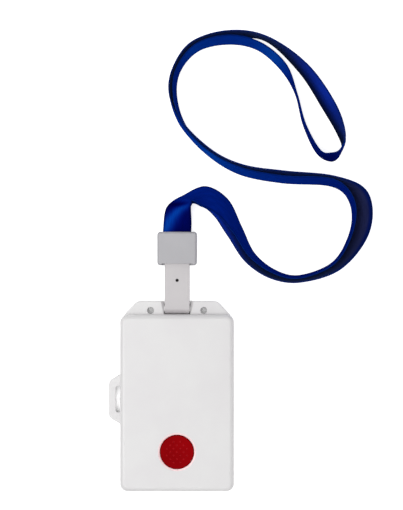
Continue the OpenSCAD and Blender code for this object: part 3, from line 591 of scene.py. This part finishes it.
# case, rear half: a shallow tray with the top flange, the bar for the hook and the side tab
rear = {"high": 5.0, "edge": 1.0, "wall": 2.0,
        "flangeLow": 0.8, "flangeHigh": 4.8, "flangeFoot": 46.5, "flangeSunk": 1.8, "flangeTop": 53.6,
        "flangeBase": 28.0, "flangeTopHalf": 21.21, "flangeTurn": 1.67, "rim": 0.45, "rimStart": 0.1,
        "notchLow": 46.6, "notchHalf": 6.9, "notchCorner": 0.5, "slopeBase": 7.2, "slopeTop": 8.75,
        "slopeReach": 3.0, "cutPast": 2.0,
        "barY": 49.7, "barZ": 3.3, "barRadius": 1.5, "barSunk": 0.05,
        "lipY": 52.75, "lipTop": 53.55, "lipHigh": 4.25, "lipRim": 0.25,
        "chainX": 14.1, "chainY": 48.6, "chainRadius": 1.75, "chainRim": 0.25, "chainMiddle": 3.0,
        "tabX": -36.3, "tabInner": -29.0, "tabY": 1.6, "tabBase": 14.0, "tabEdge": 9.53, "tabTurn": 1.648,
        "slotX": -31.35, "slotHalfWide": 1.25, "slotHalfLong": 7.1, "slotTurn": 1.2,
        "nubRadius": 0.6, "nubRim": 0.2,
        "headRadius": 2.0, "headLong": 3.0, "holeLong": 12.0,
        "bossMiddle": 2.4, "bossLong": 2.2, "boreMiddle": 1.5, "boreRadius": 1.1, "boreLong": 8.0}


def flangeFace(ends):  # on the upper or lower face of the flange and the tab
    return level(ends, rear["flangeHigh"]) or level(ends, rear["flangeLow"])


def chainRim(ends, side, z):
    reach = [math.hypot(p.x - side * rear["chainX"], p.y - rear["chainY"]) for p in ends]
    return level(ends, z) and all(near(r, rear["chainRadius"], 0.05) for r in reach)


rearShell = addBlock((-front["halfWidth"], -front["halfLength"], 0),
                     (front["halfWidth"], front["halfLength"], rear["high"]))
roundEdges(rearShell, upright, front["corner"], steps=12)
roundEdges(rearShell, lambda ends: level(ends, 0), rear["edge"], steps=4)
hollowTray(rearShell, rear["high"], rear["wall"])
roundEdges(rearShell, lambda ends: outerSeam(ends, rear["high"]), front["seamEdge"], steps=2)

flange = addBlock((-rear["flangeBase"], rear["flangeFoot"], rear["flangeLow"]),
                  (rear["flangeBase"], rear["flangeTop"], rear["flangeHigh"]))
moveCorners(flange, lambda ends: near(ends[0].y, rear["flangeTop"]),
            (rear["flangeTopHalf"] / rear["flangeBase"], 1, 1), (0, rear["flangeTop"], 0))
pick(flange, "FACE", lambda ends: all(near(p.y, rear["flangeFoot"]) for p in ends))
extrudeBy(0, -rear["flangeSunk"], 0)
done()
roundEdges(flange, lambda ends: upright(ends) and near(ends[0].y, rear["flangeTop"]), rear["flangeTurn"],
           steps=8)
flangeStart = rear["flangeFoot"] + rear["rimStart"]
roundEdges(flange, lambda ends: flangeFace(ends) and max(p.y for p in ends) > flangeStart, rear["rim"],
           steps=3)
cutWith(rearShell, flange, "UNION")

tab = addBlock((rear["tabX"], rear["tabY"] - rear["tabBase"], rear["flangeLow"]),
               (rear["tabInner"], rear["tabY"] + rear["tabBase"], rear["flangeHigh"]))
moveCorners(tab, lambda ends: near(ends[0].x, rear["tabX"]),
            (1, rear["tabEdge"] / rear["tabBase"], 1), (0, rear["tabY"], 0))
roundEdges(tab, lambda ends: upright(ends) and near(ends[0].x, rear["tabX"]), rear["tabTurn"], steps=6)
tabStart = rear["tabInner"] - rear["rimStart"]
roundEdges(tab, lambda ends: flangeFace(ends) and min(p.x for p in ends) < tabStart, rear["rim"], steps=3)
cutWith(rearShell, tab, "UNION")

notch = addBlock((-rear["notchHalf"], rear["notchLow"], cutLow),
                 (rear["notchHalf"], rear["flangeTop"] + rear["cutPast"], cutHigh))
roundEdges(notch, lambda ends: upright(ends) and near(ends[0].y, rear["notchLow"]), rear["notchCorner"],
           steps=3)
cutWith(rearShell, notch)
# the upper edges of the notch's sides slope towards the hook, wider at the mouth; the cutter is a
# wedge, with no width at its foot and twice its reach at its top
slopeRun = rear["flangeTop"] - rear["notchLow"]
slopeTurn = math.atan2(rear["slopeTop"] - rear["slopeBase"], slopeRun)
slopeReach = rear["slopeReach"]
for side in (-1, 1):
    inner = -slopeReach * side
    slope = addBlock((min(inner, 0), 0, -slopeReach), (max(inner, 0), slopeRun + rear["cutPast"], slopeReach))
    moveCorners(slope, lambda ends: near(ends[0].x, 0) and ends[0].z < 0, (0.001, 1, 1), (inner, 0, 0))
    moveCorners(slope, lambda ends: near(ends[0].x, 0) and ends[0].z > 0, (2, 1, 1), (inner, 0, 0))
    slope.location = (side * rear["slopeBase"] * mm, rear["notchLow"] * mm, rear["flangeHigh"] * mm)
    slope.rotation_euler = (0, 0, -side * slopeTurn)
    settle(slope)
    cutWith(rearShell, slope)
slot = addBlock((rear["slotX"] - rear["slotHalfWide"], rear["tabY"] - rear["slotHalfLong"], cutLow),
                (rear["slotX"] + rear["slotHalfWide"], rear["tabY"] + rear["slotHalfLong"], cutHigh))
roundEdges(slot, upright, rear["slotTurn"], steps=6)
cutWith(rearShell, slot)
for side in (-1, 1):
    chainPlace = (side * rear["chainX"], rear["chainY"], rear["chainMiddle"])
    cutWith(rearShell, addRod(chainPlace, rear["chainRadius"], rear["holeLong"], sides=48))
    for x, y in screwPlaces:
        if x * side > 0:
            cutWith(rearShell, addRod((x, y, 0), rear["headRadius"], rear["headLong"], sides=40))
            cutWith(rearShell, addRod((x, y, 0), rear["boreRadius"], rear["holeLong"], sides=32))
for side in (-1, 1):
    for z in (rear["flangeHigh"], rear["flangeLow"]):
        roundEdges(rearShell, lambda ends: chainRim(ends, side, z), rear["chainRim"], steps=3)
barHalf = rear["notchHalf"] + rear["barSunk"]  # just into the notch's sides
hookBar = addRod((0, rear["barY"], rear["barZ"]), rear["barRadius"], 2 * barHalf, sides=48,
                 turn=(0, math.pi / 2, 0))
stopLip = addBlock((-barHalf, rear["lipY"], rear["flangeLow"]), (barHalf, rear["lipTop"], rear["lipHigh"]))
roundEdges(stopLip, lambda ends: near(ends[0].y, ends[1].y) and near(ends[0].z, ends[1].z), rear["lipRim"],
           steps=3)
nubMiddle = (rear["flangeLow"] + rear["flangeHigh"]) / 2
nub = addRod((rear["slotX"] + rear["slotHalfWide"], rear["tabY"], nubMiddle), rear["nubRadius"],
             rear["flangeHigh"] - rear["flangeLow"], sides=32)
roundEdges(nub, lambda ends: near(ends[0].z, ends[1].z), rear["nubRim"], steps=3)
joinTo(rearShell, [hookBar, stopLip, nub] + screwBosses(rear))
shadePiece(rearShell)
finishPiece(rearShell, "rearShell", "device", ["rear_shell"], casePlastic)

# button: a cap with a hidden rim, a rounded edge and rows of grip dots
button = {"y": front["buttonY"], "radius": 9.0, "rimRadius": 10.4, "rimLow": 9.1, "rimHigh": 10.1,
          "top": 12.5, "edge": 0.5, "edgeNormal": 0.95, "inside": 7.5, "postRadius": 2.2, "topThick": 1.6,
          "dotRadius": 0.6, "dotTip": 0.33, "dotHigh": 0.3, "dotSunk": 0.06, "dotRim": 0.1, "dotFrom": 0.05,
          "dotPitch": 3.5, "dotRow": 1.8, "dotRows": [2, 3, 4, 3, 4, 3, 2]}


def onButtonEdge(place, normal):
    slanted = normal.z < button["edgeNormal"] and place.z <= button["top"]
    return slanted and math.hypot(place.x, place.y - button["y"]) > button["radius"] - button["edge"]


buttonCap = addRod((0, button["y"], (button["rimLow"] + button["rimHigh"]) / 2), button["rimRadius"],
                   button["rimHigh"] - button["rimLow"], sides=96)
pick(buttonCap, "FACE", lambda ends: level(ends, button["rimHigh"]))
bpy.ops.mesh.inset(thickness=(button["rimRadius"] - button["radius"]) * mm)
extrudeBy(0, 0, button["top"] - button["rimHigh"])
done()
roundEdges(buttonCap, lambda ends: level(ends, button["top"]), button["edge"], steps=5)
pick(buttonCap, "FACE", lambda ends: level(ends, button["rimLow"]))
bpy.ops.mesh.inset(thickness=(button["rimRadius"] - button["inside"]) * mm)
hollow = button["top"] - button["topThick"] - button["rimLow"]
extrudeBy(0, 0, hollow)
bpy.ops.mesh.inset(thickness=(button["inside"] - button["postRadius"]) * mm)
extrudeBy(0, 0, -hollow)
done()
gripDot = addRod((0, 0, (button["dotHigh"] - button["dotSunk"]) / 2), button["dotRadius"],
                 button["dotHigh"] + button["dotSunk"], sides=20, endRadius=button["dotTip"])
roundEdges(gripDot, lambda ends: level(ends, button["dotHigh"]), button["dotRim"], steps=3)
gripDots = []
for i, count in enumerate(button["dotRows"]):
    dotY = button["y"] + (i - (len(button["dotRows"]) - 1) / 2) * button["dotRow"]
    for k in range(count):
        only(gripDot)
        bpy.ops.object.duplicate()
        dot = bpy.context.active_object
        dot.location = ((k - (count - 1) / 2) * button["dotPitch"] * mm, dotY * mm, button["top"] * mm)
        settle(dot)
        gripDots.append(dot)
bpy.data.objects.remove(gripDot, do_unlink=True)
joinTo(buttonCap, gripDots)
shadePiece(buttonCap)
dressIn(buttonCap, buttonPlastic)
# painted highlight on the tops of the dots
paintFaces(buttonCap, dotHighlightPlastic, lambda place, normal: place.z > button["top"] + button["dotFrom"])
paintFaces(buttonCap, rimPlastic, onButtonEdge)
finishPiece(buttonCap, "buttonCap", "button", ["button_cap"])

# soft ring under the button's rim: it seals the hole; the real ring is squeezed as the button goes in
boot = {"low": 7.35, "high": 9.05, "radius": 10.3, "inside": 8.4, "keep": 0.64}
buttonBoot = addRod((0, button["y"], (boot["low"] + boot["high"]) / 2), boot["radius"],
                    boot["high"] - boot["low"], sides=96)
cutWith(buttonBoot, addRod((0, button["y"], boot["low"]), boot["inside"], length=8, sides=96))
smoothByAngle(buttonBoot)
finishPiece(buttonBoot, "buttonBoot", "device", ["button_boot"], siliconeRubber)
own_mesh(buttonBoot)

# hook: a flat plate that ends in an open barrel round the bar, with a blind hole in a boss
hook = {"half": 6.6, "barrel": 2.9, "bore": 1.58, "boreLong": 20.0, "plateLow": 4.3, "plateHigh": 6.2,
        "tail": 81.9, "shoulder": 60.0, "corner": 1.3, "cornerRoom": 0.01, "rim": 0.3, "cutPast": 1.0,
        "mouthLow": 2.05, "mouthHalf": 9.0, "mouthLong": 6.0,
        "holeY": 64.6, "holeRadius": 0.85, "holeLow": 1.7, "holeLong": 8.0, "holeRoom": 0.05, "holeEnds": 0.1,
        "bossRadius": 1.75, "bossLow": 1.1, "bossSunk": 0.2, "bossRim": 0.25}


def plateRim(ends):  # the long upper edges of the plate
    along = all(near(abs(p.x), hook["half"]) for p in ends)
    return level(ends, hook["plateHigh"]) and along and max(p.y for p in ends) > hook["shoulder"]


def inHookHole(place, normal):
    between = hook["holeLow"] - hook["holeEnds"] < place.z < hook["plateHigh"] - hook["holeEnds"]
    return between and math.hypot(place.x, place.y - hook["holeY"]) < hook["holeRadius"] + hook["holeRoom"]


hookPlate = addBlock((-hook["half"], rear["barY"], hook["plateLow"]),
                     (hook["half"], hook["tail"], hook["plateHigh"]))
barPlace = (0, rear["barY"], rear["barZ"])
hookBarrel = addRod(barPlace, hook["barrel"], 2 * hook["half"], sides=72, turn=(0, math.pi / 2, 0))
cutWith(hookPlate, hookBarrel, "UNION")
hookShape = addBlock((-hook["half"], rear["barY"] - hook["barrel"] - hook["cornerRoom"], cutLow),
                     (hook["half"], hook["tail"] + hook["cutPast"], cutHigh))
roundEdges(hookShape, lambda ends: upright(ends) and ends[0].y < hook["shoulder"], hook["corner"], steps=6)
cutWith(hookPlate, hookShape, "INTERSECT")
cutWith(hookPlate, addRod(barPlace, hook["bore"], hook["boreLong"], sides=48, turn=(0, math.pi / 2, 0)))
cutWith(hookPlate, addBlock((-hook["mouthHalf"], rear["barY"], hook["mouthLow"]),
                            (hook["mouthHalf"], rear["barY"] + hook["mouthLong"], hook["plateLow"])))
roundEdges(hookPlate, plateRim, hook["rim"], steps=3)
bossTop = hook["plateLow"] + hook["bossSunk"]
hookBoss = addRod((0, hook["holeY"], (hook["bossLow"] + bossTop) / 2), hook["bossRadius"],
                  bossTop - hook["bossLow"], sides=40)
roundEdges(hookBoss, lambda ends: level(ends, hook["bossLow"]), hook["bossRim"], steps=3)
cutWith(hookPlate, hookBoss, "UNION")
cutWith(hookPlate, addRod((0, hook["holeY"], hook["holeLow"] + hook["holeLong"] / 2), hook["holeRadius"],
                          hook["holeLong"], sides=32))
shadePiece(hookPlate)
dressIn(hookPlate, hookPlastic)
# painted shade inside the small hole
paintFaces(hookPlate, boreShadePlastic, inHookHole)
finishPiece(hookPlate, "hookPlate", "clip", ["hook"])

# sleeve: two halves that meet half way up, open for the hook's tail below and the ribbon above
sleeve = {"half": 10.5, "low": 72.5, "high": 90.3, "back": 0.3, "split": 4.3, "front": 8.3, "corner": 1.6,
          "rim": 1.3, "seam": 0.15, "cutPast": 1.0,
          "tailHalf": 6.8, "tailTop": 82.3, "tailLow": 4.1, "tailHigh": 6.4,
          "mouthHalf": 8.1, "mouthDeep": 1.0,
          "ribbonHalf": 7.8, "ribbonStart": 83.7, "ribbonLow": 3.1, "ribbonHigh": 5.5,
          "clampHalf": 8.0, "clampLow": 83.4, "clampLong": 6.0, "clampBack": 2.5, "clampFront": 6.1}


def sleeveHalf(low, high, outer, inner):
    half = addBlock((-sleeve["half"], sleeve["low"], low), (sleeve["half"], sleeve["high"], high))
    roundEdges(half, upright, sleeve["corner"], steps=6)
    roundEdges(half, lambda ends: level(ends, outer), sleeve["rim"], steps=5)
    roundEdges(half, lambda ends: level(ends, inner), sleeve["seam"], steps=2)
    start = sleeve["low"] - sleeve["cutPast"]
    clampEnd = sleeve["clampLow"] + sleeve["clampLong"]
    cutWith(half, addBlock((-sleeve["tailHalf"], start, sleeve["tailLow"]),
                           (sleeve["tailHalf"], sleeve["tailTop"], sleeve["tailHigh"])))
    cutWith(half, addBlock((-sleeve["mouthHalf"], start, sleeve["tailLow"]),
                           (sleeve["mouthHalf"], sleeve["low"] + sleeve["mouthDeep"], cutHigh)))
    cutWith(half, addBlock((-sleeve["ribbonHalf"], sleeve["ribbonStart"], sleeve["ribbonLow"]),
                           (sleeve["ribbonHalf"], sleeve["high"] + sleeve["cutPast"], sleeve["ribbonHigh"])))
    cutWith(half, addBlock((-sleeve["clampHalf"], sleeve["clampLow"], sleeve["clampBack"]),
                           (sleeve["clampHalf"], clampEnd, sleeve["clampFront"])))
    shadePiece(half)
    return half


sleeveFront = sleeveHalf(sleeve["split"], sleeve["front"], sleeve["front"], sleeve["split"])
finishPiece(sleeveFront, "sleeveFront", "lanyard", ["sleeve_front"], sleevePlastic)
sleeveBack = sleeveHalf(sleeve["back"], sleeve["split"], sleeve["back"], sleeve["split"])
finishPiece(sleeveBack, "sleeveBack", "lanyard", ["sleeve_back"], sleevePlastic)

# solids that are right as they are get their finish
cadFinish = {
    "case_seal": siliconeRubber, "boot_carrier": casePlastic, "case_screws": platedSteel,
    "screw_inserts": turnedBrass, "switch_body": blackPlastic, "switch_plunger": blackPlastic,
    "circuit_board": boardLaminate, "radio_module": boardLaminate, "shield_can": platedSteel,
    "chip_antenna": ceramicBody, "board_chips": blackPlastic, "cell_holder": blackPlastic,
    "coin_cell": platedSteel, "cell_strap": platedSteel, "cell_pad": turnedBrass, "ribbon_clamp": platedSteel,
}
for node, material in cadFinish.items():
    dressIn(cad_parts[node], material)
print("inner pieces finished:", len(cadFinish))

# floor: white paper that keeps the object's shadow; seen from below it isn't there
floor = {"sizeM": 4.0, "belowMm": 0.2, "glow": 0.72, "openMm": 8.0, "openLow": 0.11, "openHigh": 0.18,
         "seen": "F4F4F4", "shadeGrey": "8C8C8C", "bounce": "F0F0F0"}
bpy.ops.object.select_all(action="DESELECT")
bpy.ops.mesh.primitive_plane_add(size=floor["sizeM"], location=(0, 0, -floor["belowMm"] * mm))
floorObject = bpy.context.active_object
floorObject.name = "floor"
floorMaterial, floorTree, floorShader = startMaterial("white paper sweep",
                                                      {"Roughness": 0.9, "Specular IOR Level": 0.0})
floorSeen = seenRays(floorTree)
# painted shade: the floor fades to grey and loses its glow where little sky reaches it, so narrow holes stay
# dark
floorOpen = addNode(floorTree, "ShaderNodeAmbientOcclusion",
                    {"samples": 24, "Distance": floor["openMm"] * mm})
floorSky = addNode(floorTree, "ShaderNodeMapRange",
                   {"From Min": floor["openLow"], "From Max": floor["openHigh"]},
                   {"Value": floorOpen.outputs["AO"]})
floorShaded = addNode(floorTree, "ShaderNodeMix",
                    {"data_type": "RGBA", 6: fromHex(floor["shadeGrey"]), 7: fromHex(floor["seen"])},
                    {0: floorSky.outputs["Result"]})
floorColour = addNode(floorTree, "ShaderNodeMix", {"data_type": "RGBA", 6: fromHex(floor["bounce"])},
                      {0: floorSeen, 7: floorShaded.outputs[2]})
floorTree.links.new(floorColour.outputs[2], floorShader.inputs["Base Color"])
floorGlow = addNode(floorTree, "ShaderNodeMath", {"operation": "MULTIPLY"},
                    {0: floorSeen, 1: floorSky.outputs["Result"]})
floorLit = addNode(floorTree, "ShaderNodeEmission", {"Color": [floor["glow"]] * 3 + [1.0]},
                   {"Strength": floorGlow.outputs["Value"]})
floorBoth = addNode(floorTree, "ShaderNodeAddShader",
                    links={0: floorShader.outputs["BSDF"], 1: floorLit.outputs["Emission"]})
floorSide = addNode(floorTree, "ShaderNodeNewGeometry")
floorClear = addNode(floorTree, "ShaderNodeBsdfTransparent")
floorMix = addNode(floorTree, "ShaderNodeMixShader",
                   links={0: floorSide.outputs["Backfacing"], 1: floorBoth.outputs["Shader"],
                          2: floorClear.outputs["BSDF"]})
floorTree.links.new(floorMix.outputs["Shader"], floorTree.nodes["Material Output"].inputs["Surface"])
floorObject.data.materials.append(floorMaterial)

# light, in metres: an even white surround, one large soft box overhead, a little to the left, and two
# narrow strips, further left and on the lower side, that show only as a gloss along rounded edges
surround = 0.6
lights = {
    "boxLight": {"size": (1.0, 1.0), "place": (-0.4, 0.05, 1.72), "aim": (0.02, 0.05, 0.0), "power": 11.1,
                 "glossOnly": False},
    "stripLight": {"size": (0.1, 1.0), "place": (-0.75, -0.15, 1.3), "aim": (0.0, 0.0, 0.0), "power": 7.0,
                   "glossOnly": True},
    "lowLight": {"size": (1.0, 0.1), "place": (0.15, -0.8, 1.3), "aim": (0.0, 0.0, 0.0), "power": 6.0,
                 "glossOnly": True},
}
world = bpy.data.worlds.new("studio")
bpy.context.scene.world = world
world.use_nodes = True
worldTree = world.node_tree
worldSky = worldTree.nodes["Background"]
worldSky.inputs["Color"].default_value = (1, 1, 1, 1)
worldSky.inputs["Strength"].default_value = surround
worldWhite = addNode(worldTree, "ShaderNodeBackground", {"Color": (1, 1, 1, 1), "Strength": 1.0})
worldMix = addNode(worldTree, "ShaderNodeMixShader",
                   links={0: seenRays(worldTree), 1: worldSky.outputs["Background"],
                          2: worldWhite.outputs["Background"]})
worldTree.links.new(worldMix.outputs["Shader"], worldTree.nodes["World Output"].inputs["Surface"])
for name, light in lights.items():
    bpy.ops.object.select_all(action="DESELECT")
    bpy.ops.object.light_add(type="AREA", location=light["place"])
    lamp = bpy.context.active_object
    lamp.name = name
    lamp.data.shape = "RECTANGLE"
    lamp.data.size, lamp.data.size_y = light["size"]
    lamp.data.energy = light["power"]
    lamp.visible_diffuse = not light["glossOnly"]
    aim = Vector(light["aim"]) - Vector(light["place"])
    lamp.rotation_euler = aim.to_track_quat("-Z", "Y").to_euler()
bpy.context.scene.view_settings.view_transform = "Standard"
print("light set")
